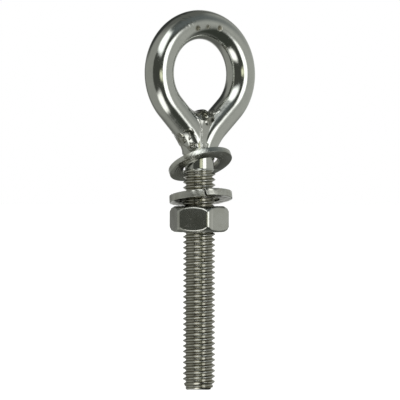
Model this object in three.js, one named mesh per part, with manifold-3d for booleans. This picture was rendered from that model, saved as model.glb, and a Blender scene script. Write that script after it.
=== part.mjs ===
// Welded eye bolt: an M6 threaded stud with a bar ring welded round its head, carrying a flat
// washer, a split lock washer and a hexagon nut.
// Millimetres. The origin is the centre of the stud's end face, +Z runs up the stud to the ring,
// and the ring lies in the XZ plane.

import * as THREE from "three";
import { mergeVertices } from "three/addons/utils/BufferGeometryUtils.js";
import Module from "manifold-3d";

// Thread: M6 x 1, right-hand
const pitch = 1;
const threadRadius = 2.98; // over the crests
const rootRadius = 2.4;
const crestWidth = 0.15;
const flankSlope = Math.tan(THREE.MathUtils.degToRad(30)); // 60 degrees between flanks
const crestHeight = 0.644; // height of a crest on the +X side, above a whole number of pitches
const threadTop = 39.9;
const runOutTurns = 1;

// Stud
const neckRadius = 2.65;
const tipRadius = 2.2; // of the flat end
const tipBevel = 0.2; // 45 degree bevel round the flat end
const tipTaper = 1.75; // height over which the thread then grows to its full radius
const studTop = 49.3;
const studEdge = 0.4; // chamfer round the top of the stud

// Ring, bent from bar
const barRadius = 2.68;
const ringRadius = 8.99; // to the bar's centre
const ringHeight = 57.96;
const legAngle = THREE.MathUtils.degToRad(44.6); // of each straight leg from the stud's line
const legBend = 11.1; // radius of the bend that brings a leg down into the stud
const legEnd = 42.6; // height of both ends of the bar
const ringLean = THREE.MathUtils.degToRad(0.7); // the ring was welded on a little crooked
const leanHeight = 45;

// Weld bead in the crotch of the ring
const weldHeight = 49.25;
const weldSize = [3.1, 2.25, 1.85]; // half widths along X, Y and Z

// Flat washer, leaning on the neck
const washerHole = 3.45;
const washerRadius = 5.94;
const washerThickness = 0.92;
const washerEdge = 0.12;
const washerPlace = new THREE.Vector3(0.22, 0, 41.4);
const washerLean = 27.3; // degrees from flat
const washerTurn = 4; // degrees from +X to the line it leans about

// Split lock washer, lying on the nut
const lockHole = 3.4;
const lockRadius = 5.8;
const lockThickness = 1.36;
const lockPlace = new THREE.Vector3(0.24, -0.16, 35.31);
const lockLean = 10.1;
const lockTurn = -12;
const lockSplit = -116; // degrees from +X to the split
const lockGap = 3.5; // degrees left open at the split
const lockRise = -0.22; // height gained round the ring, so one end stands proud

// Nut
const nutBottom = 28.9;
const nutHeight = 4.8;
const nutSides = 6;
const nutAcrossFlats = 9.8;
const nutCornerRadius = 5.53;
const nutFaceRadius = 4.7; // of the flat ring inside each face's 45 degree chamfer
const nutTurn = 12.8; // degrees from +X to a corner
const nutBore = 2.52;
const nutCountersink = 3.15;
const threadPlay = 0.06; // axial play of each flank in the nut
const nutThreadRadius = 3.07;

// Fineness and fit
const stepsPerTurn = 16;
const roundSteps = 48;
const barSides = 16;
const barSteps = 64;
const beadSides = 24;
const beadRings = 16;
const fitGap = 0.1; // between welded neighbours
const overrun = 1; // how far a cutter passes the face it cuts
const rootOverlap = 0.08; // how far a thread ridge reaches past the surface that carries it
const fadeFloor = 0.02; // share of a ridge's depth left at its very ends
const mergeDistance = 1e-4;
const turn = 2 * Math.PI;

const wasm = await Module();
wasm.setup();

const radians = THREE.MathUtils.degToRad;

function solidOf(geometry) {
  geometry.deleteAttribute("normal");
  geometry.deleteAttribute("uv");
  const merged = mergeVertices(geometry, mergeDistance);
  return new wasm.Manifold(
    new wasm.Mesh({
      numProp: 3,
      vertProperties: merged.attributes.position.array,
      triVerts: new Uint32Array(merged.index.array),
    }),
  );
}

function geometryOf(solid) {
  const mesh = solid.getMesh();
  const geometry = new THREE.BufferGeometry();
  geometry.setAttribute("position", new THREE.BufferAttribute(mesh.vertProperties, 3));
  geometry.setIndex(new THREE.BufferAttribute(mesh.triVerts, 1));
  return geometry;
}

// A profile of [radius, height] points turned round the Z axis.
function lathed(profile, steps) {
  const points = profile.map(([radius, height]) => new THREE.Vector2(radius, height));
  return new THREE.LatheGeometry(points, steps).rotateX(Math.PI / 2);
}

// An outline of [radius, height] points swept round the Z axis, rising as it goes. The radius
// fades down to `sunk` over the first and last `fadeTurns`.
function wound(outline, turns, rise, startAngle, startHeight, fadeTurns = 0, sunk = 0) {
  const shape = new THREE.Shape(outline.map(([x, y]) => new THREE.Vector2(x, y)));
  const steps = Math.round(Math.abs(turns) * (fadeTurns ? stepsPerTurn : roundSteps));
  const geometry = new THREE.ExtrudeGeometry(shape, { depth: turns, steps, bevelEnabled: false });
  const point = geometry.attributes.position;
  for (let i = 0; i < point.count; i += 1) {
    const gone = point.getZ(i);
    const toEnd = Math.min(gone, turns - gone);
    const fade = fadeTurns ? Math.min(1, fadeFloor + toEnd / fadeTurns) : 1;
    const radius = sunk + (point.getX(i) - sunk) * fade;
    const angle = startAngle + gone * turn;
    const height = startHeight - point.getY(i) + gone * rise;
    point.setXYZ(i, radius * Math.cos(angle), radius * Math.sin(angle), height);
  }
  return geometry;
}

// One ridge of the thread, from `low` to at least `high`, between two radii. `play` widens it.
function threadRidge(low, high, inner, outer, play) {
  const halfWidth = (radius) => crestWidth / 2 + (threadRadius - radius) * flankSlope + play;
  const outline = [
    [inner, -halfWidth(inner)],
    [outer, -halfWidth(outer)],
    [outer, halfWidth(outer)],
    [inner, halfWidth(inner)],
  ];
  const firstTurn = Math.floor(low / pitch);
  const turns = Math.ceil((high - low) / pitch);
  const start = firstTurn * pitch + crestHeight;
  return solidOf(wound(outline, turns, pitch, 0, start, runOutTurns, inner));
}

function makeStud() {
  const core = [
    [0, 0],
    [tipRadius, 0],
    [rootRadius, rootRadius - tipRadius],
    [rootRadius, threadTop],
    [neckRadius, threadTop + (neckRadius - rootRadius)],
    [neckRadius, studTop - studEdge],
    [neckRadius - studEdge, studTop],
    [0, studTop],
  ];
  const blank = [
    [0, 0],
    [tipRadius, 0],
    [tipRadius + tipBevel, tipBevel],
    [threadRadius, tipTaper],
    [threadRadius + overrun, tipTaper],
    [threadRadius + overrun, studTop],
    [0, studTop],
  ];
  const ridge = threadRidge(-overrun, threadTop, rootRadius - rootOverlap, threadRadius, 0);
  const trimmed = ridge.intersect(solidOf(lathed(blank, stepsPerTurn)));
  return solidOf(lathed(core, stepsPerTurn)).add(trimmed);
}

// The ring's centre line: up one leg, round the ring, and down to the end of the other leg.
class RingLine extends THREE.Curve {
  constructor() {
    super();
    const crossing = ringHeight - ringRadius / Math.sin(legAngle); // where straight legs would meet
    this.bendTop = legBend * (1 - Math.cos(legAngle));
    this.bendFoot = crossing + this.bendTop / Math.tan(legAngle) - legBend * Math.sin(legAngle);
    this.round = ringRadius * (Math.PI / 2 + legAngle);
    this.straight = (ringRadius * Math.cos(legAngle) - this.bendTop) / Math.sin(legAngle);
    this.bend = legBend * (legAngle - Math.asin((legEnd - this.bendFoot) / legBend));
    this.half = this.round + this.straight + this.bend;
  }

  getPoint(t, target = new THREE.Vector3()) {
    const side = t < 0.5 ? -1 : 1;
    let gone = Math.abs(2 * t - 1) * this.half;
    let out;
    let height;
    if (gone <= this.round) {
      out = ringRadius * Math.sin(gone / ringRadius);
      height = ringHeight + ringRadius * Math.cos(gone / ringRadius);
    } else if (gone <= this.round + this.straight) {
      gone -= this.round;
      out = ringRadius * Math.cos(legAngle) - gone * Math.sin(legAngle);
      height = ringHeight - ringRadius * Math.sin(legAngle) - gone * Math.cos(legAngle);
    } else {
      const angle = legAngle - (gone - this.round - this.straight) / legBend;
      out = legBend * (1 - Math.cos(angle));
      height = this.bendFoot + legBend * Math.sin(angle);
    }
    return target.set(side * out, 0, height);
  }
}

function makeBar(radius) {
  const section = new THREE.Shape();
  section.absarc(0, 0, radius, 0, turn);
  const bar = new THREE.ExtrudeGeometry(section, {
    extrudePath: new RingLine(),
    steps: barSteps,
    curveSegments: barSides / 2, // an arc is cut into twice this
  });
  return solidOf(bar.translate(0, 0, -leanHeight).rotateY(ringLean).translate(0, 0, leanHeight));
}

function makeStudSpace() {
  const space = [
    [0, threadTop],
    [neckRadius + fitGap, threadTop],
    [neckRadius + fitGap, studTop + fitGap],
    [0, studTop + fitGap],
  ];
  return solidOf(lathed(space, stepsPerTurn));
}

function makeRing() {
  return makeBar(barRadius).subtract(makeStudSpace());
}

function makeWeld() {
  const bead = new THREE.SphereGeometry(1, beadSides, beadRings).scale(...weldSize);
  return solidOf(bead.translate(0, 0, weldHeight))
    .subtract(makeBar(barRadius + fitGap))
    .subtract(makeStudSpace());
}

function makeFlatWasher() {
  const half = washerThickness / 2;
  const section = [
    [washerHole, -half],
    [washerRadius - washerEdge, -half],
    [washerRadius, washerEdge - half],
    [washerRadius, half - washerEdge],
    [washerRadius - washerEdge, half],
    [washerHole, half],
    [washerHole, -half],
  ];
  return solidOf(lathed(section, roundSteps));
}

function makeLockWasher() {
  const half = lockThickness / 2;
  const section = [
    [lockHole, -half],
    [lockRadius, -half],
    [lockRadius, half],
    [lockHole, half],
  ];
  const turns = 1 - lockGap / 360;
  const start = radians(lockSplit + lockGap / 2 - lockTurn);
  return solidOf(wound(section, turns, lockRise, start, -lockRise / 2));
}

function makeNut() {
  const corner = nutAcrossFlats / 2 / Math.cos(turn / nutSides / 2);
  const hexagon = new THREE.Shape(
    Array.from({ length: nutSides }, (_, i) => {
      const angle = radians(nutTurn) + (i * turn) / nutSides;
      return new THREE.Vector2(corner * Math.cos(angle), corner * Math.sin(angle));
    }),
  );
  const block = new THREE.ExtrudeGeometry(hexagon, { depth: nutHeight, bevelEnabled: false });
  const drop = nutCornerRadius - nutFaceRadius;
  const chamfered = [
    [0, 0],
    [nutFaceRadius, 0],
    [nutCornerRadius, drop],
    [nutCornerRadius, nutHeight - drop],
    [nutFaceRadius, nutHeight],
    [0, nutHeight],
  ];
  const sink = nutCountersink + overrun - nutBore;
  const bore = [
    [0, -overrun],
    [nutCountersink + overrun, -overrun],
    [nutBore, sink - overrun],
    [nutBore, nutHeight + overrun - sink],
    [nutCountersink + overrun, nutHeight + overrun],
    [0, nutHeight + overrun],
  ];
  const beyond = overrun + runOutTurns * pitch;
  const low = nutBottom - beyond;
  const high = nutBottom + nutHeight + beyond;
  const thread = threadRidge(low, high, nutBore - rootOverlap, nutThreadRadius, threadPlay);
  const lifted = (profile, steps) => solidOf(lathed(profile, steps).translate(0, 0, nutBottom));
  return solidOf(block.translate(0, 0, nutBottom))
    .intersect(lifted(chamfered, roundSteps))
    .subtract(lifted(bore, stepsPerTurn))
    .subtract(thread);
}

function steel(color, roughness) {
  return new THREE.MeshStandardMaterial({ color, roughness, metalness: 1 });
}

const polished = steel(0xb9bbb8, 0.12);
const rolled = steel(0x8a8b80, 0.32);
const welded = steel(0x8d8b80, 0.5);
const stamped = steel(0xa3a49e, 0.38);
const turned = steel(0xa0a19c, 0.3);

function piece(name, solid, material) {
  const mesh = new THREE.Mesh(geometryOf(solid), material);
  mesh.name = name;
  return mesh;
}

// A washer in a group of its own, leaning by `lean` about a level line at `heading`.
function leaning(mesh, place, lean, heading) {
  const group = new THREE.Group();
  group.position.copy(place);
  group.rotation.set(-radians(lean), 0, radians(heading), "ZXY");
  group.add(mesh);
  return group;
}

const eyeBolt = new THREE.Group();
eyeBolt.add(
  piece("threaded_stud", makeStud(), rolled),
  piece("eye_loop", makeRing(), polished),
  piece("neck_weld", makeWeld(), welded),
  leaning(piece("flat_washer", makeFlatWasher(), turned), washerPlace, washerLean, washerTurn),
  leaning(piece("lock_washer", makeLockWasher(), stamped), lockPlace, lockLean, lockTurn),
  piece("hex_nut", makeNut(), turned),
);

export default eyeBolt;
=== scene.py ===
# Eye bolt with a bar ring, flat washer, split lock washer and hexagon nut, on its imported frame.
# Sizes in the dictionaries are in millimetres and degrees; the frame is in metres.

import math

import bmesh
import bpy
import numpy as np
from mathutils import Matrix, Vector, noise


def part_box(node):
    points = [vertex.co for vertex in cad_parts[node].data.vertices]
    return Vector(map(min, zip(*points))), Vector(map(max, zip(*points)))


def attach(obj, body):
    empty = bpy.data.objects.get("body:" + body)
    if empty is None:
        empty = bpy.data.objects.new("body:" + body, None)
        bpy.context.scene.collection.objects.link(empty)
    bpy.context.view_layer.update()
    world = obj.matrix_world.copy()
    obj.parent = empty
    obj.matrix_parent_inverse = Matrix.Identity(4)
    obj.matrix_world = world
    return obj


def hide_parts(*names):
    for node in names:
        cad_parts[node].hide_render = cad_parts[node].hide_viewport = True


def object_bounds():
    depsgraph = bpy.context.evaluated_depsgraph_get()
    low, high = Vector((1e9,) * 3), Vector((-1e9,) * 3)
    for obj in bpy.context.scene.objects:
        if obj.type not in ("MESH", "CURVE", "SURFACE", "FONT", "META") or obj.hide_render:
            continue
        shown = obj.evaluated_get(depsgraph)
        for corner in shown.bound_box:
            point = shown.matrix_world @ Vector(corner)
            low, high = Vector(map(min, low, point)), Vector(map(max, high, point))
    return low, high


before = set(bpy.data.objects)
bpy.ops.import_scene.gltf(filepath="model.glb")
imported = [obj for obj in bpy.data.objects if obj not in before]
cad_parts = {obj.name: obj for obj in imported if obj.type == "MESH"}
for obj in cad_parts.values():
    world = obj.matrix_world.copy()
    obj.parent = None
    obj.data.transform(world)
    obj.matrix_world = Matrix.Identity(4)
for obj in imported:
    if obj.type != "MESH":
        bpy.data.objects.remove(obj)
cadLow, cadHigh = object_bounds()
print("frame loaded")

mm = 0.001
fullTurn = 2 * math.pi
zAxis = Vector((0, 0, 1))


def smoothStep(low, high, value):
    share = min(1, max(0, (value - low) / (high - low)))
    return share * share * (3 - 2 * share)


def outlineEdges(bm, points, closed):
    verts = [bm.verts.new(point) for point in points]
    pairs = list(zip(verts, verts[1:]))
    if closed:
        pairs.append((verts[-1], verts[0]))
    edges = [bm.edges.new(pair) for pair in pairs]
    return verts + edges


def sharpEdges(bm, degrees):
    limit = math.radians(degrees)
    return [edge for edge in bm.edges if len(edge.link_faces) == 2 and edge.calc_face_angle() > limit]


def bevelEdges(bm, edges, width, segments, clamped=True):
    bmesh.ops.bevel(bm, geom=edges, offset=width, segments=segments, affect="EDGES", profile=0.5,
                    material=-1, clamp_overlap=clamped)


def cutFlat(bm, height, keepAbove):
    bmesh.ops.bisect_plane(bm, geom=bm.verts[:] + bm.edges[:] + bm.faces[:], dist=1e-5,
                           plane_co=(0, 0, height), plane_no=zAxis,
                           clear_inner=keepAbove, clear_outer=not keepAbove)


def openEdges(bm):
    return [edge for edge in bm.edges if edge.is_boundary]


def makePiece(name, bm, material, body, nodes=(), smoothBelow=40):
    bmesh.ops.scale(bm, vec=(mm, mm, mm), verts=bm.verts)
    bmesh.ops.recalc_face_normals(bm, faces=bm.faces)
    mesh = bpy.data.meshes.new(name)
    bm.to_mesh(mesh)
    bm.free()
    mesh.shade_smooth()
    mesh.set_sharp_from_angle(angle=math.radians(smoothBelow))
    mesh.materials.append(material)
    piece = bpy.data.objects.new(name, mesh)
    bpy.context.scene.collection.objects.link(piece)
    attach(piece, body)
    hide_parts(*nodes)
    print(f"{name}: {len(mesh.polygons)} faces")


def addNode(tree, kind, **settings):
    made = tree.nodes.new(kind)
    for key, value in settings.items():
        setattr(made, key, value)
    return made


def feed(tree, source, socket):
    if isinstance(source, bpy.types.NodeSocket):
        tree.links.new(source, socket)
    else:
        socket.default_value = source


def maths(tree, operation, first, second=0.0, third=0.0):
    made = addNode(tree, "ShaderNodeMath", operation=operation)
    for socket, source in zip(made.inputs, (first, second, third)):
        feed(tree, source, socket)
    return made.outputs[0]


def smoothRange(tree, value, low, high, outLow=0.0, outHigh=1.0):
    made = addNode(tree, "ShaderNodeMapRange", interpolation_type="SMOOTHSTEP")
    for key, source in (("Value", value), ("From Min", low), ("From Max", high),
                        ("To Min", outLow), ("To Max", outHigh)):
        feed(tree, source, made.inputs[key])
    return made.outputs[0]


def mixColours(tree, share, first, second, blend="MIX"):
    made = addNode(tree, "ShaderNodeMix", data_type="RGBA", blend_type=blend)
    feed(tree, share, made.inputs[0])
    feed(tree, first, made.inputs[6])
    feed(tree, second, made.inputs[7])
    return made.outputs[2]


def noiseValue(tree, vector, scale, detail=2.0, roughness=0.5, distortion=0.0):
    made = addNode(tree, "ShaderNodeTexNoise")
    tree.links.new(vector, made.inputs["Vector"])
    for key, value in (("Scale", scale), ("Detail", detail), ("Roughness", roughness),
                       ("Distortion", distortion)):
        feed(tree, value, made.inputs[key])
    return made.outputs["Fac"]


def mapped(tree, vector, rotation=(0, 0, 0), scale=(1, 1, 1), location=(0, 0, 0), kind="POINT"):
    made = addNode(tree, "ShaderNodeMapping", vector_type=kind)
    tree.links.new(vector, made.inputs["Vector"])
    made.inputs["Location"].default_value = location
    made.inputs["Rotation"].default_value = rotation
    made.inputs["Scale"].default_value = scale
    return made.outputs[0]


def splitVector(tree, vector):
    made = addNode(tree, "ShaderNodeSeparateXYZ")
    tree.links.new(vector, made.inputs[0])
    return made.outputs


def joinVector(tree, x, y, z):
    made = addNode(tree, "ShaderNodeCombineXYZ")
    for socket, source in zip(made.inputs, (x, y, z)):
        feed(tree, source, socket)
    return made.outputs[0]


# Radius, angle and height of a point about the Z axis.
def roundCoordinates(tree, vector):
    x, y, z = splitVector(tree, vector)
    squares = maths(tree, "ADD", maths(tree, "MULTIPLY", x, x), maths(tree, "MULTIPLY", y, y))
    return maths(tree, "SQRT", squares), maths(tree, "ARCTAN2", y, x), z


def objectPlace(tree):
    return addNode(tree, "ShaderNodeTexCoord").outputs["Object"]


# One at a place on the object, fading to nothing at its reach; both are in millimetres.
def spotMask(tree, place, core, reach):
    away = addNode(tree, "ShaderNodeVectorMath", operation="DISTANCE")
    tree.links.new(objectPlace(tree), away.inputs[0])
    away.inputs[1].default_value = [value * mm for value in place]
    return smoothRange(tree, away.outputs["Value"], reach * mm, core * mm)


def anySpot(tree, spots):
    mask = spotMask(tree, *spots[0])
    for spot in spots[1:]:
        mask = maths(tree, "MAXIMUM", mask, spotMask(tree, *spot))
    return mask


def newGroup(name, inputs, outputs):
    group = bpy.data.node_groups.new(name, "ShaderNodeTree")
    for key, value in inputs.items():
        socket = group.interface.new_socket(key, in_out="INPUT", socket_type="NodeSocketFloat")
        socket.default_value = value
    for key, kind in outputs.items():
        group.interface.new_socket(key, in_out="OUTPUT", socket_type=kind)
    return group, group.nodes.new("NodeGroupInput"), group.nodes.new("NodeGroupOutput")


def placeGroup(tree, group, **values):
    made = addNode(tree, "ShaderNodeGroup", node_tree=group)
    for key, value in values.items():
        feed(tree, value, made.inputs[key])
    return made.outputs


def newMaterial(name):
    material = bpy.data.materials.new(name)
    material.use_nodes = True
    tree = material.node_tree
    return material, tree, tree.nodes["Principled BSDF"]


marksPerMetre = 2600


# Fine scuffs left by tumbling and handling: long thin marks that cross each other.
def makeScuffs():
    group, given, result = newGroup(
        "fineScuffs", {"Density": 1.0, "Stretch": 12.0},
        {"Height": "NodeSocketFloat", "Mask": "NodeSocketFloat"})
    place = objectPlace(group)
    marks = []
    for turn, tilt in ((0.4, 0.9), (1.9, -0.5), (2.7, 0.3)):
        turned = mapped(group, place, rotation=(tilt, turn, turn * 2))
        x, y, z = splitVector(group, turned)
        thin = joinVector(group, maths(group, "DIVIDE", x, given.outputs["Stretch"]), y, z)
        scale = maths(group, "MULTIPLY", given.outputs["Density"], marksPerMetre)
        marks.append(smoothRange(group, noiseValue(group, thin, scale, detail=1), 0.6, 0.78))
    both = maths(group, "MAXIMUM", maths(group, "MAXIMUM", marks[0], marks[1]), marks[2])
    patchy = smoothRange(group, noiseValue(group, place, 260, detail=3), 0.35, 0.7)
    mask = maths(group, "MULTIPLY", both, patchy)
    group.links.new(mask, result.inputs["Mask"])
    group.links.new(maths(group, "MULTIPLY", mask, -1), result.inputs["Height"])
    return group


# Fine grain of rolled or etched steel, with broader waves under it.
def makeGrain():
    group, given, result = newGroup(
        "steelGrain", {"Fine": 3500.0, "Broad": 500.0, "Broadness": 0.4},
        {"Height": "NodeSocketFloat", "Tone": "NodeSocketFloat"})
    place = objectPlace(group)
    fine = noiseValue(group, place, given.outputs["Fine"], detail=4, roughness=0.65)
    broad = noiseValue(group, place, given.outputs["Broad"], detail=3)
    toBroad = maths(group, "SUBTRACT", broad, fine)
    mixed = maths(group, "MULTIPLY_ADD", toBroad, given.outputs["Broadness"], fine)
    group.links.new(mixed, result.inputs["Height"])
    group.links.new(smoothRange(group, mixed, 0.3, 0.7), result.inputs["Tone"])
    return group


# Where an edge is rubbed bright, broken up so that it is not an even line.
def makeEdgeWear():
    group, given, result = newGroup(
        "edgeWear", {"Start": 0.52, "End": 0.6, "Breaks": 900.0}, {"Mask": "NodeSocketFloat"})
    ridge = addNode(group, "ShaderNodeNewGeometry").outputs["Pointiness"]
    worn = smoothRange(group, ridge, given.outputs["Start"], given.outputs["End"])
    broken = noiseValue(group, objectPlace(group), given.outputs["Breaks"], detail=3)
    mask = maths(group, "MULTIPLY", worn, smoothRange(group, broken, 0.3, 0.55))
    group.links.new(mask, result.inputs["Mask"])
    return group


# Old oil and dirt: cloudy stains with a few dark specks.
def makeStain():
    group, given, result = newGroup(
        "oldOil", {"Cloud": 320.0, "Specks": 1400.0},
        {"Mask": "NodeSocketFloat", "Dots": "NodeSocketFloat"})
    place = objectPlace(group)
    cloud = noiseValue(group, place, given.outputs["Cloud"], detail=4, distortion=0.6)
    group.links.new(smoothRange(group, cloud, 0.42, 0.68), result.inputs["Mask"])
    specks = noiseValue(group, place, given.outputs["Specks"], detail=1)
    group.links.new(smoothRange(group, specks, 0.7, 0.78), result.inputs["Dots"])
    return group


scuffs, grain, edgeWear, oldOil = makeScuffs(), makeGrain(), makeEdgeWear(), makeStain()


def bumped(tree, shader, height, depth, strength):
    bump = addNode(tree, "ShaderNodeBump")
    bump.inputs["Distance"].default_value = depth * mm
    bump.inputs["Strength"].default_value = strength
    tree.links.new(height, bump.inputs["Height"])
    tree.links.new(bump.outputs["Normal"], shader.inputs["Normal"])


stud = {
    "pitch": 1.0,
    "crestRadius": 2.98,
    "rootRadius": 2.4,
    "crestFlat": 0.15,
    "flankAngle": 30.0,  # from square to the axis
    "rounding": 0.12,
    "crestHeight": 0.644,  # a crest on the +X side stands this far above a whole pitch
    "threadEnd": 39.45,
    "runOut": 1.3,
    "neckRadius": 2.65,
    "tipRadius": 2.2,
    "tipBevel": 0.2,
    "tipTaper": 1.75,
    "tipRounding": 0.1,
    "headTop": 45.5,  # above this the weld has swallowed the stud
    "topChamfer": 0.4,
    "pointsPerPitch": 16,
    "stepsPerTurn": 56,
}


# Radius of a 60 degree thread at a height above its crest, with its corners rounded.
def threadRadius(height, size):
    fromCrest = abs(height / size["pitch"] - round(height / size["pitch"])) * size["pitch"]
    slope = 1 / math.tan(math.radians(size["flankAngle"]))
    flank = size["crestRadius"] - (fromCrest - size["crestFlat"] / 2) * slope
    blunt = softLower(size["crestRadius"], flank, size["rounding"])
    return -softLower(-size["rootRadius"], -blunt, size["rounding"])


def softLower(first, second, blend):
    share = max(blend - abs(first - second), 0) / blend
    return min(first, second) - share * share * blend / 4


# A band one pitch tall, wound one turn and stacked: the surface of a thread.
def windThread(bm, size, low, high):
    count = size["pointsPerPitch"]
    steps = size["stepsPerTurn"]
    pitch = size["pitch"]
    start = (math.floor(low / pitch) - 1) * pitch + size["crestHeight"]
    rises = [pitch * i / count for i in range(count + 1)]
    points = [(threadRadius(rise, size), 0, start + rise) for rise in rises]
    bmesh.ops.spin(bm, geom=outlineEdges(bm, points, False), cent=(0, 0, 0), axis=zAxis,
                   dvec=(0, 0, pitch / steps), angle=fullTurn, steps=steps, use_merge=False)
    turn = bm.verts[:] + bm.edges[:] + bm.faces[:]
    for i in range(1, math.ceil((high - start) / pitch)):
        copied = bmesh.ops.duplicate(bm, geom=turn)["geom"]
        raised = [item for item in copied if isinstance(item, bmesh.types.BMVert)]
        bmesh.ops.translate(bm, verts=raised, vec=(0, 0, pitch * i))
    bmesh.ops.remove_doubles(bm, verts=bm.verts, dist=1e-4)


def setRadius(vert, radius):
    length = math.hypot(vert.co.x, vert.co.y)
    vert.co.x *= radius / length
    vert.co.y *= radius / length


def capLoop(bm, edges):
    return bmesh.ops.contextual_create(bm, geom=edges)["faces"]


def makeStud(material):
    bm = bmesh.new()
    neckStart = stud["threadEnd"] + stud["runOut"]
    neck = stud["headTop"] - stud["topChamfer"] - neckStart
    windThread(bm, stud, 0, neckStart)
    for vert in bm.verts:
        height = vert.co.z
        radius = math.hypot(vert.co.x, vert.co.y)
        radius += (stud["neckRadius"] - radius) * smoothStep(stud["threadEnd"], neckStart, height)
        bevelEnd = stud["tipRadius"] + stud["tipBevel"]
        taper = (stud["crestRadius"] - bevelEnd) / (stud["tipTaper"] - stud["tipBevel"])
        tapered = bevelEnd + max(0, height - stud["tipBevel"]) * taper
        limit = min(stud["tipRadius"] + max(0, height), tapered)
        setRadius(vert, softLower(limit, radius, stud["tipRounding"]))
    cutFlat(bm, 0, keepAbove=True)
    cutFlat(bm, neckStart, keepAbove=False)
    bottom = [edge for edge in openEdges(bm) if edge.verts[0].co.z < 1]
    face = capLoop(bm, bottom)
    bmesh.ops.inset_individual(bm, faces=face, thickness=0.5)
    for rise, inward in ((neck, 0), (stud["topChamfer"], stud["topChamfer"])):
        ring = bmesh.ops.extrude_edge_only(bm, edges=openEdges(bm))["geom"]
        verts = [item for item in ring if isinstance(item, bmesh.types.BMVert)]
        bmesh.ops.translate(bm, verts=verts, vec=(0, 0, rise))
        for vert in verts:
            setRadius(vert, stud["neckRadius"] - inward)
    capLoop(bm, openEdges(bm))
    makePiece("threadedStud", bm, material, "bolt", ["threaded_stud"])


def threadMaterial():
    material, tree, shader = newMaterial("rolledThread")
    place = objectPlace(tree)
    radius, _, height = roundCoordinates(tree, place)
    oil = placeGroup(tree, oldOil, Cloud=420.0, Specks=1500.0)
    rough = placeGroup(tree, grain, Fine=5200.0, Broad=900.0, Broadness=0.5)
    # the flanks below the crests are tinted darker olive-brown, less at the roots; the crests and the neck
    # above stay clean
    crest, root, end = (stud[key] for key in ("crestRadius", "rootRadius", "threadEnd"))
    depth = smoothRange(tree, radius, (crest - 0.05) * mm, (crest - 0.26) * mm)
    threaded = smoothRange(tree, height, (end + 1.15) * mm, (end - 0.05) * mm)
    aboveRoot = smoothRange(tree, radius, (root + 0.03) * mm, (root + 0.12) * mm, 0.35, 1.0)
    flank = maths(tree, "MULTIPLY", depth, aboveRoot)
    oilAndFlankTint = maths(tree, "MULTIPLY_ADD", oil["Mask"], 0.2, maths(tree, "MULTIPLY", flank, 0.65))
    clean = mixColours(tree, threaded, (0.62, 0.63, 0.6, 1), (0.74, 0.735, 0.7, 1))
    threadTint = maths(tree, "MULTIPLY", oilAndFlankTint, threaded)
    colour = mixColours(tree, threadTint, clean, (0.23, 0.215, 0.145, 1))
    specks = maths(tree, "MULTIPLY", oil["Dots"], threaded)
    colour = mixColours(tree, specks, colour, (0.12, 0.11, 0.08, 1))
    tree.links.new(colour, shader.inputs["Base Color"])
    shader.inputs["Metallic"].default_value = 1
    even = smoothRange(tree, threaded, 0, 1, 0.08, 0.12)
    gloss = maths(tree, "MULTIPLY_ADD", rough["Tone"], 0.06, even)
    tree.links.new(maths(tree, "MULTIPLY_ADD", oilAndFlankTint, 0.08, gloss), shader.inputs["Roughness"])
    bumped(tree, shader, rough["Height"], 0.008, 0.6)
    return material


ring = {
    "barRadius": 2.68,
    "ringRadius": 8.99,  # to the bar's centre
    "centreHeight": 57.96,
    "legAngle": 44.6,  # of each straight leg from upright
    "bendRadius": 11.1,  # where a leg turns down into the stud
    "legEnd": 42.6,
    "lean": 0.7,  # the ring stands a little crooked
    "leanHeight": 45.0,
    "barSides": 96,
    "roundSteps": 160,
    "legSteps": 12,
    "bendSteps": 30,
    "dots": ((-2.12, -2.65, 66.15), (0.11, -2.92, 66.38), (2.71, -2.67, 66.27)),  # plain punch marks
    "dotRadius": 0.5,
    "dotDepth": 0.1,
    "grinding": (-4.0, -1.9, 67.8),  # where a grinder touched the bar
    "grindCentre": (-5.6, -2.6, 65.6),  # of the arcs that it left
    "grindRings": 380,
    "polishWaves": 420,
}


# Where the straight leg and the bend below it lie, in the ring's own plane.
def legRoute():
    angle = math.radians(ring["legAngle"])
    radius, bend = ring["ringRadius"], ring["bendRadius"]
    crossing = ring["centreHeight"] - radius / math.sin(angle)
    bendOut = bend * (1 - math.cos(angle))
    foot = crossing + bendOut / math.tan(angle) - bend * math.sin(angle)
    straight = (radius * math.cos(angle) - bendOut) / math.sin(angle)
    sweep = angle - math.asin((ring["legEnd"] - foot) / bend)
    return angle, foot, straight, sweep


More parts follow.
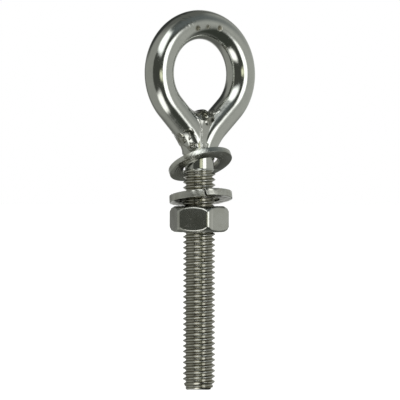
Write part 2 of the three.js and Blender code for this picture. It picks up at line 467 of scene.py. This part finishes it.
def makeRing(material):
    bm = bmesh.new()
    angle, foot, straight, sweep = legRoute()
    yAxis = Vector((0, 1, 0))
    centre = Vector((0, 0, ring["centreHeight"]))
    top = Matrix.Translation(centre + zAxis * ring["ringRadius"])
    upright = top @ Matrix.Rotation(math.pi / 2, 4, "Y")
    bmesh.ops.create_circle(bm, segments=ring["barSides"], radius=ring["barRadius"], matrix=upright)
    spun = bmesh.ops.spin(bm, geom=bm.verts[:] + bm.edges[:], cent=centre, axis=yAxis,
                          angle=math.pi / 2 + angle, steps=ring["roundSteps"])
    last = spun["geom_last"]
    step = Vector((-math.sin(angle), 0, -math.cos(angle))) * straight / ring["legSteps"]
    for _ in range(ring["legSteps"]):
        edges = [item for item in last if isinstance(item, bmesh.types.BMEdge)]
        last = bmesh.ops.extrude_edge_only(bm, edges=edges)["geom"]
        last = [item for item in last if not isinstance(item, bmesh.types.BMFace)]
        moved = [item for item in last if isinstance(item, bmesh.types.BMVert)]
        bmesh.ops.translate(bm, verts=moved, vec=step)
        edges = [item for item in last if isinstance(item, bmesh.types.BMEdge)]
        last = moved + [edge for edge in edges if all(vert in moved for vert in edge.verts)]
    bmesh.ops.spin(bm, geom=last, cent=(ring["bendRadius"], 0, foot), axis=yAxis,
                   angle=-sweep, steps=ring["bendSteps"])
    end = [edge for edge in openEdges(bm) if edge.verts[0].co.z < ring["centreHeight"]]
    capLoop(bm, end)
    bmesh.ops.mirror(bm, geom=bm.verts[:] + bm.edges[:] + bm.faces[:], axis="X", merge_dist=1e-4)
    bmesh.ops.remove_doubles(bm, verts=bm.verts, dist=1e-4)
    lean = Matrix.Rotation(math.radians(ring["lean"]), 3, "Y")
    bmesh.ops.rotate(bm, verts=bm.verts, cent=(0, 0, ring["leanHeight"]), matrix=lean)
    bmesh.ops.recalc_face_normals(bm, faces=bm.faces)
    for vert in bm.verts:
        near = min((vert.co - Vector(dot)).length for dot in ring["dots"])
        sunk = smoothStep(ring["dotRadius"], ring["dotRadius"] * 0.4, near)
        vert.co -= vert.normal * ring["dotDepth"] * sunk
    makePiece("eyeRing", bm, material, "bolt", ["eye_loop"])


def ringMaterial():
    material, tree, shader = newMaterial("polishedBar")
    place = objectPlace(tree)
    marks = placeGroup(tree, scuffs, Density=1.0, Stretch=14.0)
    fine = placeGroup(tree, grain, Fine=3800.0, Broad=900.0, Broadness=0.4)
    colour = mixColours(tree, fine["Tone"], (0.6, 0.615, 0.59, 1), (0.67, 0.68, 0.655, 1))
    core, reach = ring["dotRadius"] * 0.6, ring["dotRadius"] * 1.5
    stain = anySpot(tree, [(dot, core, reach) for dot in ring["dots"]])
    colour = mixColours(tree, maths(tree, "MULTIPLY", stain, 0.85), colour, (0.17, 0.155, 0.1, 1))
    tree.links.new(colour, shader.inputs["Base Color"])
    shader.inputs["Metallic"].default_value = 1
    gloss = maths(tree, "MULTIPLY_ADD", fine["Tone"], 0.07, 0.06)
    gloss = maths(tree, "MULTIPLY_ADD", marks["Mask"], 0.14, gloss)
    tree.links.new(maths(tree, "MULTIPLY_ADD", stain, 0.4, gloss), shader.inputs["Roughness"])
    # the polishing wheel left broad waves, and the grinder a few curved marks near the top
    waves = noiseValue(tree, place, ring["polishWaves"], detail=2)
    curl = addNode(tree, "ShaderNodeTexWave", wave_type="RINGS", rings_direction="SPHERICAL")
    centre = [-value * mm for value in ring["grindCentre"]]
    tree.links.new(mapped(tree, place, location=centre), curl.inputs["Vector"])
    curl.inputs["Scale"].default_value = ring["grindRings"]
    curl.inputs["Distortion"].default_value = 1.5
    ground = maths(tree, "MULTIPLY", curl.outputs["Fac"], spotMask(tree, ring["grinding"], 0.5, 2.2))
    height = maths(tree, "MULTIPLY_ADD", marks["Height"], 0.5, fine["Height"])
    height = maths(tree, "MULTIPLY_ADD", waves, 5.0, height)
    bumped(tree, shader, maths(tree, "MULTIPLY_ADD", ground, 9.0, height), 0.006, 0.6)
    return material


weld = {
    "centre": (0.0, 0.0, 47.8),
    "reach": 5.6,
    "blend": 1.3,  # how broadly the legs and the stud run together
    "sunk": -0.12,  # how far the weld lies under the bare bar where nothing was welded
    "bead": (0.0, 0.0, 49.25),
    "beadSize": (3.1, 2.25, 1.85),
    "head": 49.3,  # top of the stud inside it
    "flatWay": (0.242, -0.97, 0.0),  # the stud's head was dressed flat on this side
    "flatDepth": 2.36,
    "flatStart": 44.5,  # the flat side runs out below this
    "lumpSize": 1.15,
    "raggedness": 0.5,
    "fineness": 7,
}
# each patch: place, radius, width of its edge, lift over the bar, height of its lumps
weldPatches = (
    ((-3.85, -1.65, 45.9), 2.35, 0.5, 0.22, 0.34),
    ((-3.2, 2.1, 46.4), 2.4, 0.8, 0.24, 0.26),
    ((1.0, -1.7, 50.1), 2.3, 1.3, 0.18, 0.3),
    ((-1.0, 1.9, 49.8), 2.6, 1.2, 0.18, 0.26),
    ((3.2, 2.1, 46.9), 2.2, 0.9, 0.2, 0.2),
    ((0.0, 0.0, 51.0), 3.4, 1.6, 0.14, 0.2),
)
# where it kept its scale: place, core, reach
weldScale = (
    ((0.6, -1.8, 50.3), 1.2, 2.6),
    ((-3.85, -1.65, 45.9), 1.6, 2.4),
    ((-0.6, 1.8, 50.0), 2.0, 3.4),
)
# beads stand up and pits sink in: place, radius, height
weldSpots = (
    ((3.35, -1.95, 51.1), 0.6, 0.5),
    ((2.35, -2.05, 50.0), 0.62, -0.62),
    ((-3.6, -1.25, 45.1), 0.55, -0.42),
    ((-2.86, -2.33, 45.9), 0.6, -0.42),
    ((-3.45, -2.1, 46.0), 0.4, 0.26),
    ((-2.9, -1.9, 45.1), 0.4, 0.26),
    ((-3.6, 1.3, 45.4), 0.5, -0.34),
    ((3.1, 2.2, 46.0), 0.5, -0.34),
)


# Distance from points to the bar of one leg, in millimetres, below zero inside.
def barDistance(points, side):
    angle, foot, straight, sweep = legRoute()
    radius, bend, middle = ring["ringRadius"], ring["bendRadius"], ring["centreHeight"]
    out, height = points[:, 0] * side, points[:, 2]
    turn = np.clip(np.arctan2(out, height - middle), 0, math.pi / 2 + angle)
    toRound = np.hypot(out - radius * np.sin(turn), height - middle - radius * np.cos(turn))
    startOut, startHeight = radius * math.cos(angle), middle - radius * math.sin(angle)
    along = -(out - startOut) * math.sin(angle) - (height - startHeight) * math.cos(angle)
    along = np.clip(along, 0, straight)
    toLeg = np.hypot(out - startOut + along * math.sin(angle),
                     height - startHeight + along * math.cos(angle))
    turn = np.clip(np.arctan2(height - foot, bend - out), angle - sweep, angle)
    toBend = np.hypot(out - bend + bend * np.cos(turn), height - foot - bend * np.sin(turn))
    flat = np.minimum(np.minimum(toRound, toLeg), toBend)
    return np.hypot(flat, points[:, 1]) - ring["barRadius"]


def blended(first, second, blend):
    share = np.maximum(blend - np.abs(first - second), 0) / blend
    return np.minimum(first, second) - share * share * blend / 4


def falloff(points, place, radius, edge):
    share = np.clip((radius - np.linalg.norm(points - np.array(place), axis=1)) / edge, 0, 1)
    return share * share * (3 - 2 * share)


def lumps(points, size):
    return np.array([noise.noise(Vector(point) / size) for point in points]) * 1.5


# Distance to the skin of the weld, with its lumps, beads and pits.
def weldDistance(points, texture):
    lean = math.radians(-ring["lean"])
    x, y, z = points[:, 0], points[:, 1], points[:, 2] - ring["leanHeight"]
    upright = np.stack([x * math.cos(lean) + z * math.sin(lean), y,
                        z * math.cos(lean) - x * math.sin(lean) + ring["leanHeight"]], axis=1)
    blend = weld["blend"]
    legs = blended(barDistance(upright, 1), barDistance(upright, -1), blend)
    stem = np.maximum(np.hypot(x, y) - stud["neckRadius"], points[:, 2] - weld["head"])
    size = np.array(weld["beadSize"])
    scaled = (points - np.array(weld["bead"])) / size
    bead = (np.linalg.norm(scaled, axis=1) - 1) * size.min()
    shape = blended(blended(legs, stem, blend), bead, blend / 2)
    # the flat side runs out just over the washer
    runOut = np.clip((weld["flatStart"] - points[:, 2]) * 0.4, 0, 1)
    shape = np.maximum(shape, points @ np.array(weld["flatWay"]) - weld["flatDepth"] - runOut)
    lift = np.full(len(points), weld["sunk"])
    lift[np.hypot(x, y) < stud["neckRadius"] * 1.1] *= 0.2
    for place, radius, edge, rise, roughness in weldPatches:
        near = falloff(points, place, radius + texture * weld["raggedness"], edge)
        lift += near * rise + falloff(points, place, radius, radius * 0.8) * roughness * texture
    for place, radius, rise in weldSpots:
        lift += falloff(points, place, radius * 1.5, radius * 1.5) * rise
    ball = np.linalg.norm(points - np.array(weld["centre"]), axis=1) - weld["reach"]
    return np.maximum(shape - lift, ball)


# The weld is a ball let out from its centre, vertex by vertex, until it meets that skin.
def makeWeld(material):
    bm = bmesh.new()
    bmesh.ops.create_icosphere(bm, subdivisions=weld["fineness"], radius=1)
    ways = np.array([vert.co.normalized() for vert in bm.verts])
    centre = np.array(weld["centre"])
    reach = np.full(len(ways), 0.5)
    texture = np.zeros(len(ways))
    for attempt in range(60):
        points = centre + ways * reach[:, None]
        if attempt in (30, 45):
            texture = lumps(points, weld["lumpSize"])
        reach -= weldDistance(points, texture) * 0.8
    for vert, place in zip(bm.verts, centre + ways * reach[:, None]):
        vert.co = place
    makePiece("neckWeld", bm, material, "bolt", ["neck_weld"], smoothBelow=80)


def weldMaterial():
    material, tree, shader = newMaterial("weldMetal")
    oil = placeGroup(tree, oldOil, Cloud=700.0, Specks=2100.0)
    rough = placeGroup(tree, grain, Fine=4800.0, Broad=1500.0, Broadness=0.5)
    worn = placeGroup(tree, edgeWear, Start=0.52, End=0.6, Breaks=1200.0)
    # the crotch, front and back, and the patch on the -X leg kept their scale, the rest was polished
    scaled = anySpot(tree, weldScale)
    dark = maths(tree, "MULTIPLY", maths(tree, "MULTIPLY_ADD", oil["Mask"], 0.6, 0.4), scaled)
    colour = mixColours(tree, dark, (0.6, 0.605, 0.58, 1), (0.2, 0.195, 0.15, 1))
    specks = maths(tree, "MULTIPLY", oil["Dots"], scaled)
    colour = mixColours(tree, specks, colour, (0.08, 0.08, 0.06, 1))
    colour = mixColours(tree, worn["Mask"], colour, (0.7, 0.7, 0.67, 1))
    tree.links.new(colour, shader.inputs["Base Color"])
    shader.inputs["Metallic"].default_value = 1
    tree.links.new(maths(tree, "MULTIPLY_ADD", rough["Tone"], 0.12, 0.1), shader.inputs["Roughness"])
    bumped(tree, shader, rough["Height"], 0.014, 0.6)
    return material


flatWasher = {
    "hole": 3.45,
    "radius": 5.94,
    "thickness": 0.92,
    "edge": 0.28,
    "place": (0.22, 0, 41.4),
    "lean": 27.3,
    "turn": 4.0,
    "steps": 180,
    "grooves": (4.15, 4.6, 5.05),  # radii of the turned lines that show most
    "grooveWidth": 0.16,
    "grooveDepth": 0.045,
    "ticks": 150.0,  # how closely the marks across the rim follow each other
}


# A washer's own frame: it leans about a level line through its centre.
def washerMatrix(size):
    tilt = Matrix.Rotation(math.radians(-size["lean"]), 4, "X")
    return Matrix.Translation(size["place"]) @ Matrix.Rotation(math.radians(size["turn"]), 4, "Z") @ tilt


def washerOutline(size, rows):
    half = size["thickness"] / 2
    wall = [(size["hole"], half), (size["hole"], -half)]
    face = [size["hole"] + (size["radius"] - size["hole"]) * i / rows for i in range(1, rows + 1)]
    under = [(radius, -half) for radius in face]
    upper = [(radius, half) for radius in reversed(face)]
    return [Vector((radius, 0, height)) for radius, height in wall + under + upper]


def makeFlatWasher(material):
    bm = bmesh.new()
    geom = outlineEdges(bm, washerOutline(flatWasher, 48), True)
    bmesh.ops.spin(bm, geom=geom, cent=(0, 0, 0), axis=zAxis, angle=fullTurn,
                   steps=flatWasher["steps"], use_merge=True)
    bmesh.ops.remove_doubles(bm, verts=bm.verts, dist=1e-4)
    bmesh.ops.recalc_face_normals(bm, faces=bm.faces)
    bevelEdges(bm, sharpEdges(bm, 50), flatWasher["edge"], 4)
    for vert in bm.verts:
        radius = math.hypot(vert.co.x, vert.co.y)
        face = 1 if vert.co.z > 0 else -1
        near = min(abs(radius - groove) for groove in flatWasher["grooves"])
        if abs(vert.co.z) > flatWasher["thickness"] * 0.49:
            cut = 1 - smoothStep(0, flatWasher["grooveWidth"], near)
            vert.co.z -= face * flatWasher["grooveDepth"] * cut
    bmesh.ops.transform(bm, matrix=washerMatrix(flatWasher), verts=bm.verts)
    makePiece("flatWasher", bm, material, "flat_washer", ["flat_washer"])


# Object coordinates turned back into a washer's own frame.
def washerPlace(tree, size):
    turned = washerMatrix(size).to_euler("XYZ")
    place = [value * mm for value in size["place"]]
    return mapped(tree, objectPlace(tree), rotation=turned, location=place, kind="TEXTURE")


def flatWasherMaterial():
    material, tree, shader = newMaterial("turnedWasher")
    own = washerPlace(tree, flatWasher)
    radius, angle, height = roundCoordinates(tree, own)
    around = maths(tree, "MULTIPLY", maths(tree, "SINE", angle), 0.0004)
    lines = noiseValue(tree, joinVector(tree, radius, around, 0.0), 6500, detail=3, roughness=0.7)
    outer, hole = flatWasher["radius"], flatWasher["hole"]
    rim = smoothRange(tree, radius, (outer - 0.12) * mm, (outer - 0.03) * mm)
    wobble = noiseValue(tree, own, 500, detail=1)
    wander = maths(tree, "MULTIPLY", wobble, 9.0)
    ticks = maths(tree, "SINE", maths(tree, "MULTIPLY_ADD", angle, flatWasher["ticks"], wander))
    toTicks = maths(tree, "SUBTRACT", maths(tree, "MULTIPLY", ticks, 0.4), lines)
    pattern = maths(tree, "MULTIPLY_ADD", toTicks, rim, lines)
    worn = placeGroup(tree, edgeWear, Start=0.51, End=0.56, Breaks=700.0)
    oil = placeGroup(tree, oldOil, Cloud=380.0, Specks=1300.0)
    colour = mixColours(tree, oil["Mask"], (0.63, 0.64, 0.61, 1), (0.5, 0.5, 0.45, 1))
    # painted shade: the side that faces down is darker, most towards the hole
    under = smoothRange(tree, height, 0.0, -0.3 * mm)
    inward = smoothRange(tree, radius, (outer - 0.24) * mm, (hole - 0.05) * mm, 0.25, 0.8)
    paintedShade = maths(tree, "MULTIPLY", under, inward)
    colour = mixColours(tree, paintedShade, colour, (0.2, 0.2, 0.17, 1))
    colour = mixColours(tree, worn["Mask"], colour, (0.72, 0.73, 0.7, 1))
    tree.links.new(colour, shader.inputs["Base Color"])
    shader.inputs["Metallic"].default_value = 1
    gloss = maths(tree, "MULTIPLY_ADD", lines, 0.14, 0.1)
    tree.links.new(maths(tree, "MULTIPLY_ADD", worn["Mask"], -0.1, gloss), shader.inputs["Roughness"])
    bumped(tree, shader, pattern, 0.018, 0.8)
    return material


lockWasher = {
    "hole": 3.4,
    "radius": 5.8,
    "thickness": 1.36,
    "edge": 0.42,
    "place": (0.24, -0.16, 35.31),
    "lean": 10.1,
    "turn": -12.0,
    "split": -116.0,  # degrees from +X, before it is turned
    "gap": 2.0,
    "rise": -0.22,
    "slant": 4.0,  # degrees that each sheared end runs off square
    "steps": 150,
    "unevenness": 0.04,
    "unevenScale": 1.4,
}


def makeLockWasher(material):
    bm = bmesh.new()
    size = lockWasher
    points = washerOutline(size, 10)
    start = math.radians(size["split"] + size["gap"] / 2 - size["turn"])
    sweep = fullTurn - math.radians(size["gap"])
    outline = outlineEdges(bm, points, True)
    bmesh.ops.translate(bm, verts=bm.verts, vec=(0, 0, -size["rise"] / 2))
    bmesh.ops.rotate(bm, verts=bm.verts, cent=(0, 0, 0), matrix=Matrix.Rotation(start, 3, "Z"))
    bmesh.ops.spin(bm, geom=outline, cent=(0, 0, 0), axis=zAxis, angle=sweep,
                   dvec=(0, 0, size["rise"] / size["steps"]), steps=size["steps"], use_merge=False)
    bmesh.ops.remove_doubles(bm, verts=bm.verts, dist=1e-4)
    bmesh.ops.holes_fill(bm, edges=openEdges(bm), sides=0)
    bmesh.ops.recalc_face_normals(bm, faces=bm.faces)
    # the shear leaves its ends off square
    for vert in bm.verts:
        height = vert.co.z / size["thickness"]
        bmesh.ops.rotate(bm, verts=[vert], cent=(0, 0, 0),
                         matrix=Matrix.Rotation(math.radians(-size["slant"] * height), 3, "Z"))
    bevelEdges(bm, sharpEdges(bm, 50), size["edge"], 4)
    for vert in bm.verts:
        push = noise.fractal(vert.co * size["unevenScale"], 0.7, 2, 4) * size["unevenness"]
        vert.co += vert.normal * (push - size["unevenness"] * 0.75)
    bmesh.ops.transform(bm, matrix=washerMatrix(size), verts=bm.verts)
    makePiece("lockWasher", bm, material, "lock_washer", ["lock_washer"])


def lockWasherMaterial():
    material, tree, shader = newMaterial("shearedWasher")
    own = washerPlace(tree, lockWasher)
    rough = placeGroup(tree, grain, Fine=2600.0, Broad=700.0, Broadness=0.55)
    oil = placeGroup(tree, oldOil, Cloud=600.0, Specks=1500.0)
    worn = placeGroup(tree, edgeWear, Start=0.5, End=0.56, Breaks=800.0)
    radius, _, height = roundCoordinates(tree, own)
    # the rim is torn below and rolled smooth along its upper edge
    outer = lockWasher["radius"]
    rim = maths(tree, "MULTIPLY", smoothRange(tree, radius, (outer - 0.3) * mm, (outer - 0.1) * mm),
                smoothRange(tree, height, 0.42 * mm, 0.2 * mm))
    tear = noiseValue(tree, mapped(tree, own, scale=(1, 1, 0.45)), 900, detail=3)
    onRim = maths(tree, "MULTIPLY_ADD", rim, 0.8, 0.2)
    torn = maths(tree, "MULTIPLY", smoothRange(tree, tear, 0.4, 0.6), onRim)
    stained = maths(tree, "MULTIPLY", oil["Mask"], 0.5)
    colour = mixColours(tree, stained, (0.6, 0.6, 0.57, 1), (0.42, 0.41, 0.35, 1))
    dulled = maths(tree, "MULTIPLY", torn, 0.3)
    colour = mixColours(tree, dulled, colour, (0.38, 0.38, 0.34, 1))
    # painted shade: darker towards the underside and inward from the rim
    under = maths(tree, "MULTIPLY", smoothRange(tree, height, 0.1 * mm, -0.5 * mm),
                  smoothRange(tree, radius, (outer - 0.2) * mm, (outer - 0.6) * mm))
    colour = mixColours(tree, maths(tree, "MULTIPLY", under, 0.8), colour, (0.12, 0.115, 0.09, 1))
    colour = mixColours(tree, worn["Mask"], colour, (0.72, 0.73, 0.7, 1))
    tree.links.new(colour, shader.inputs["Base Color"])
    shader.inputs["Metallic"].default_value = 1
    gloss = maths(tree, "MULTIPLY_ADD", rim, 0.24, 0.1)
    tree.links.new(maths(tree, "MULTIPLY_ADD", rough["Tone"], 0.12, gloss), shader.inputs["Roughness"])
    relief = maths(tree, "MULTIPLY_ADD", torn, -0.6, maths(tree, "MULTIPLY", rough["Height"], 0.5))
    bumped(tree, shader, relief, 0.045, 0.7)
    return material


nut = {
    "acrossFlats": 9.8,
    "faceRadius": 4.55,  # of the flat ring inside each chamfer
    "chamfer": ((0.62, 0.42), (0.98, 0.9)),  # outward and along, from that ring
    "turn": 12.8,  # degrees from +X to a corner
    "countersink": 3.15,
    "edge": 0.2,
    "roundSteps": 120,
}
nutThread = dict(stud, crestRadius=3.07, rootRadius=2.52, crestFlat=0.35,
                 stepsPerTurn=48, pointsPerPitch=12)


def lathe(bm, profile, steps):
    points = [Vector((radius, 0, height)) for radius, height in profile]
    bmesh.ops.spin(bm, geom=outlineEdges(bm, points, False), cent=(0, 0, 0), axis=zAxis, angle=fullTurn,
                   steps=steps, use_merge=True)
    bmesh.ops.remove_doubles(bm, verts=bm.verts, dist=1e-4)
    bmesh.ops.recalc_face_normals(bm, faces=bm.faces)


def cutter(name, bm):
    bmesh.ops.recalc_face_normals(bm, faces=bm.faces)
    mesh = bpy.data.meshes.new(name)
    bm.to_mesh(mesh)
    bm.free()
    made = bpy.data.objects.new(name, mesh)
    bpy.context.scene.collection.objects.link(made)
    return made


# One solid cut by, or kept inside, another; both are used up.
def combine(first, second, operation):
    modifier = first.modifiers.new("cut", "BOOLEAN")
    modifier.operation = operation
    modifier.solver = "EXACT"
    modifier.object = second
    graph = bpy.context.evaluated_depsgraph_get()
    bm = bmesh.new()
    bm.from_mesh(first.evaluated_get(graph).to_mesh())
    for used in (first, second):
        bpy.data.meshes.remove(used.data)
    return bm


def makeNut(material):
    low, high = (corner.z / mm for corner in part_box("hex_nut"))
    height = high - low
    hexagon = bmesh.new()
    corner = nut["acrossFlats"] / 2 / math.cos(math.pi / 6)
    # a cone of six sides starts with a corner on +Y, half a side from a corner on +X
    turned = Matrix.Rotation(math.radians(nut["turn"] + 30), 4, "Z")
    bmesh.ops.create_cone(hexagon, cap_ends=True, segments=6, radius1=corner, radius2=corner, depth=height,
                          matrix=Matrix.Translation((0, 0, height / 2)) @ turned)
    turnedBar = bmesh.new()
    chamfer = [(nut["faceRadius"] + out, along) for out, along in nut["chamfer"]]
    rim = [(0, 0), (nut["faceRadius"], 0), *chamfer]
    lathe(turnedBar, rim + [(radius, height - rise) for radius, rise in reversed(rim)], nut["roundSteps"])
    bm = combine(cutter("hexagon", hexagon), cutter("turnedBar", turnedBar), "INTERSECT")
    bmesh.ops.remove_doubles(bm, verts=bm.verts, dist=1e-4)
    bevelEdges(bm, sharpEdges(bm, 20), nut["edge"], 4, clamped=False)
    tap = bmesh.new()
    windThread(tap, nutThread, low - 2, high + 2)
    for vert in tap.verts:
        inside = min(vert.co.z - low, high - vert.co.z)
        setRadius(vert, max(math.hypot(vert.co.x, vert.co.y), nut["countersink"] - inside))
    cutFlat(tap, low - 0.5, keepAbove=True)
    cutFlat(tap, high + 0.5, keepAbove=False)
    bmesh.ops.holes_fill(tap, edges=openEdges(tap), sides=0)
    bmesh.ops.translate(tap, verts=tap.verts, vec=(0, 0, -low))
    bm = combine(cutter("nutBody", bm), cutter("tap", tap), "DIFFERENCE")
    bmesh.ops.translate(bm, verts=bm.verts, vec=(0, 0, low))
    makePiece("hexNut", bm, material, "nut", ["hex_nut"], smoothBelow=30)


def nutMaterial():
    material, tree, shader = newMaterial("nutSteel")
    rough = placeGroup(tree, grain, Fine=2600.0, Broad=420.0, Broadness=0.4)
    marks = placeGroup(tree, scuffs, Density=0.7, Stretch=10.0)
    worn = placeGroup(tree, edgeWear, Start=0.51, End=0.57, Breaks=500.0)
    oil = placeGroup(tree, oldOil, Cloud=300.0, Specks=1200.0)
    colour = mixColours(tree, oil["Mask"], (0.64, 0.645, 0.62, 1), (0.56, 0.56, 0.52, 1))
    colour = mixColours(tree, worn["Mask"], colour, (0.74, 0.74, 0.71, 1))
    tree.links.new(colour, shader.inputs["Base Color"])
    shader.inputs["Metallic"].default_value = 1
    gloss = maths(tree, "MULTIPLY_ADD", rough["Tone"], 0.08, 0.2)
    gloss = maths(tree, "MULTIPLY_ADD", marks["Mask"], 0.12, gloss)
    tree.links.new(maths(tree, "MULTIPLY_ADD", worn["Mask"], -0.1, gloss), shader.inputs["Roughness"])
    # faint upright lines from the drawn bar, under the scuffs
    drawn = noiseValue(tree, mapped(tree, objectPlace(tree), scale=(1, 1, 0.06)), 3200, detail=2)
    height = maths(tree, "MULTIPLY_ADD", marks["Height"], 0.3, maths(tree, "ADD", rough["Height"], drawn))
    bumped(tree, shader, height, 0.005, 0.6)
    return material


makeStud(threadMaterial())
makeRing(ringMaterial())
makeWeld(weldMaterial())
makeFlatWasher(flatWasherMaterial())
makeLockWasher(lockWasherMaterial())
makeNut(nutMaterial())
print("pieces made")


studio = {
    "cameraAzimuth": -34.0,
    "distance": 750.0,
    "width": 73.29,  # what the frame takes in at the stud's axis
    "aside": 0.137,
    "roll": 0.0017,
    "floorSize": 40.0,  # metres
    "wallColour": (0.14, 0.145, 0.132),
    "panelSquareness": 3.5,
}
# each panel: azimuth from the camera's side, elevation, half width, half height,
# tilt, softness, colour; a later panel covers an earlier one
skyPanels = {
    "dark room": (19, -11, 78, 88, 17, 0.18, (0.05, 0.056, 0.046)),
    "right wall": (107, 12, 46, 40, 9, 0.22, (0.46, 0.469, 0.434)),
    "left wall": (-65, 0, 80, 67, 24, 0.22, (0.34, 0.346, 0.316)),
    "high shade": (60, 48, 60, 19, -8, 0.9, (0.14, 0.158, 0.158)),
    "shade round the camera": (0, 2, 51, 34, -1, 0.1, (0.066, 0.07, 0.06)),
    "upper soft box": (-13, 44, 28, 17, -19, 0.36, (1.75, 1.8, 1.75)),
    "lower soft box": (-20, -41, 23, 15, 18, 0.4, (1.7, 1.7, 1.62)),
    "glow of the side soft box": (48, 2, 15, 21, -1, 0.4, (0.6, 0.61, 0.575)),
    "side soft box": (42, 2, 13, 20, -1, 0.24, (1.9, 1.92, 1.86)),
    "warm lamp": (16, -1, 10, 4, -1, 0.6, (1.1, 1.12, 0.8)),
    "bright screen behind": (182, 2, 28, 24, -32, 0.27, (0.66, 0.668, 0.648)),
    "low shade behind": (-147, 0, 13, 36, 0, 0.4, (0.19, 0.192, 0.178)),
    "high shade behind": (-150, 36, 34, 21, 0, 0.4, (0.045, 0.048, 0.045)),
}


def panelGroup():
    inputs = {"Azimuth": 0.0, "Elevation": 0.0, "Across": 0.0, "Up": 0.0, "Half Width": 1.0,
              "Half Height": 1.0, "Tilt": 0.0, "Softness": 0.1}
    group, given, result = newGroup("softPanel", inputs, {"Mask": "NodeSocketFloat"})
    given = given.outputs
    aside = maths(group, "SUBTRACT", given["Azimuth"], given["Across"])
    across = maths(group, "WRAP", aside, 180.0, -180.0)
    up = maths(group, "SUBTRACT", given["Elevation"], given["Up"])
    cosine, sine = maths(group, "COSINE", given["Tilt"]), maths(group, "SINE", given["Tilt"])
    along = maths(group, "MULTIPLY_ADD", across, cosine, maths(group, "MULTIPLY", up, sine))
    over = maths(group, "SUBTRACT", maths(group, "MULTIPLY", up, cosine),
                 maths(group, "MULTIPLY", across, sine))
    # a rounded rectangle: the higher the power, the squarer its corners
    squareness = studio["panelSquareness"]
    shares = [maths(group, "ABSOLUTE", maths(group, "DIVIDE", way, given[half]))
              for way, half in ((along, "Half Width"), (over, "Half Height"))]
    powers = [maths(group, "POWER", share, squareness) for share in shares]
    away = maths(group, "POWER", maths(group, "ADD", *powers), 1 / squareness)
    inner = maths(group, "SUBTRACT", 1.0, given["Softness"])
    outer = maths(group, "ADD", 1.0, given["Softness"])
    group.links.new(smoothRange(group, away, outer, inner), result.inputs["Mask"])
    return group


def makeSky():
    world = bpy.data.worlds.new("studio")
    bpy.context.scene.world = world
    world.use_nodes = True
    tree = world.node_tree
    way = addNode(tree, "ShaderNodeTexCoord").outputs["Generated"]
    # angles are counted from the side the camera stands on
    turned = mapped(tree, way, rotation=(0, 0, math.radians(90 - studio["cameraAzimuth"])))
    x, y, z = splitVector(tree, turned)
    azimuth = maths(tree, "MULTIPLY", maths(tree, "ARCTAN2", y, x), 180 / math.pi)
    elevation = maths(tree, "MULTIPLY", maths(tree, "ARCSINE", z), 180 / math.pi)
    group = panelGroup()
    colour = (*studio["wallColour"], 1)
    for across, up, halfWidth, halfHeight, tilt, softness, tint in skyPanels.values():
        values = {"Azimuth": azimuth, "Elevation": elevation, "Across": across, "Up": up,
                  "Half Width": halfWidth, "Half Height": halfHeight, "Tilt": math.radians(tilt),
                  "Softness": softness}
        mask = placeGroup(tree, group, **values)["Mask"]
        colour = mixColours(tree, mask, colour, (*tint, 1))
    background = tree.nodes["Background"]
    seen = addNode(tree, "ShaderNodeLightPath").outputs["Is Camera Ray"]
    tree.links.new(mixColours(tree, seen, colour, (1, 1, 1, 1)), background.inputs["Color"])


def makeFloor():
    bm = bmesh.new()
    bmesh.ops.create_grid(bm, x_segments=1, y_segments=1, size=studio["floorSize"] / 2)
    mesh = bpy.data.meshes.new("floor")
    bm.to_mesh(mesh)
    bm.free()
    floor = bpy.data.objects.new("floor", mesh)
    bpy.context.scene.collection.objects.link(floor)
    material, tree, shader = newMaterial("paleFloor")
    shader.inputs["Base Color"].default_value = (0.9, 0.9, 0.9, 1)
    shader.inputs["Roughness"].default_value = 1
    shader.inputs["Specular IOR Level"].default_value = 0
    shader.inputs["Emission Color"].default_value = (1, 1, 1, 1)
    shader.inputs["Emission Strength"].default_value = 0.85
    mesh.materials.append(material)
    floor.visible_glossy = False
    floor.visible_diffuse = False


def makeCamera():
    angle = math.radians(studio["cameraAzimuth"])
    toward = Vector((math.sin(angle), -math.cos(angle), 0))
    aside = Vector((math.cos(angle), math.sin(angle), 0))
    aim = aside * studio["aside"] * mm + zAxis * (cadLow.z + cadHigh.z) / 2
    camera = bpy.data.objects.new("camera", bpy.data.cameras.new("camera"))
    camera.data.sensor_width = 36
    camera.data.lens = 36 * studio["distance"] / studio["width"]
    camera.location = aim + toward * studio["distance"] * mm
    facing = (-toward).to_track_quat("-Z", "Y").to_matrix()
    camera.rotation_euler = (Matrix.Rotation(studio["roll"], 3, toward) @ facing).to_euler()
    camera.data.clip_start, camera.data.clip_end = 0.01, 100
    bpy.context.scene.collection.objects.link(camera)
    bpy.context.scene.camera = camera


makeSky()
makeFloor()
makeCamera()
bpy.context.scene.view_settings.view_transform = "Standard"
print("studio ready")
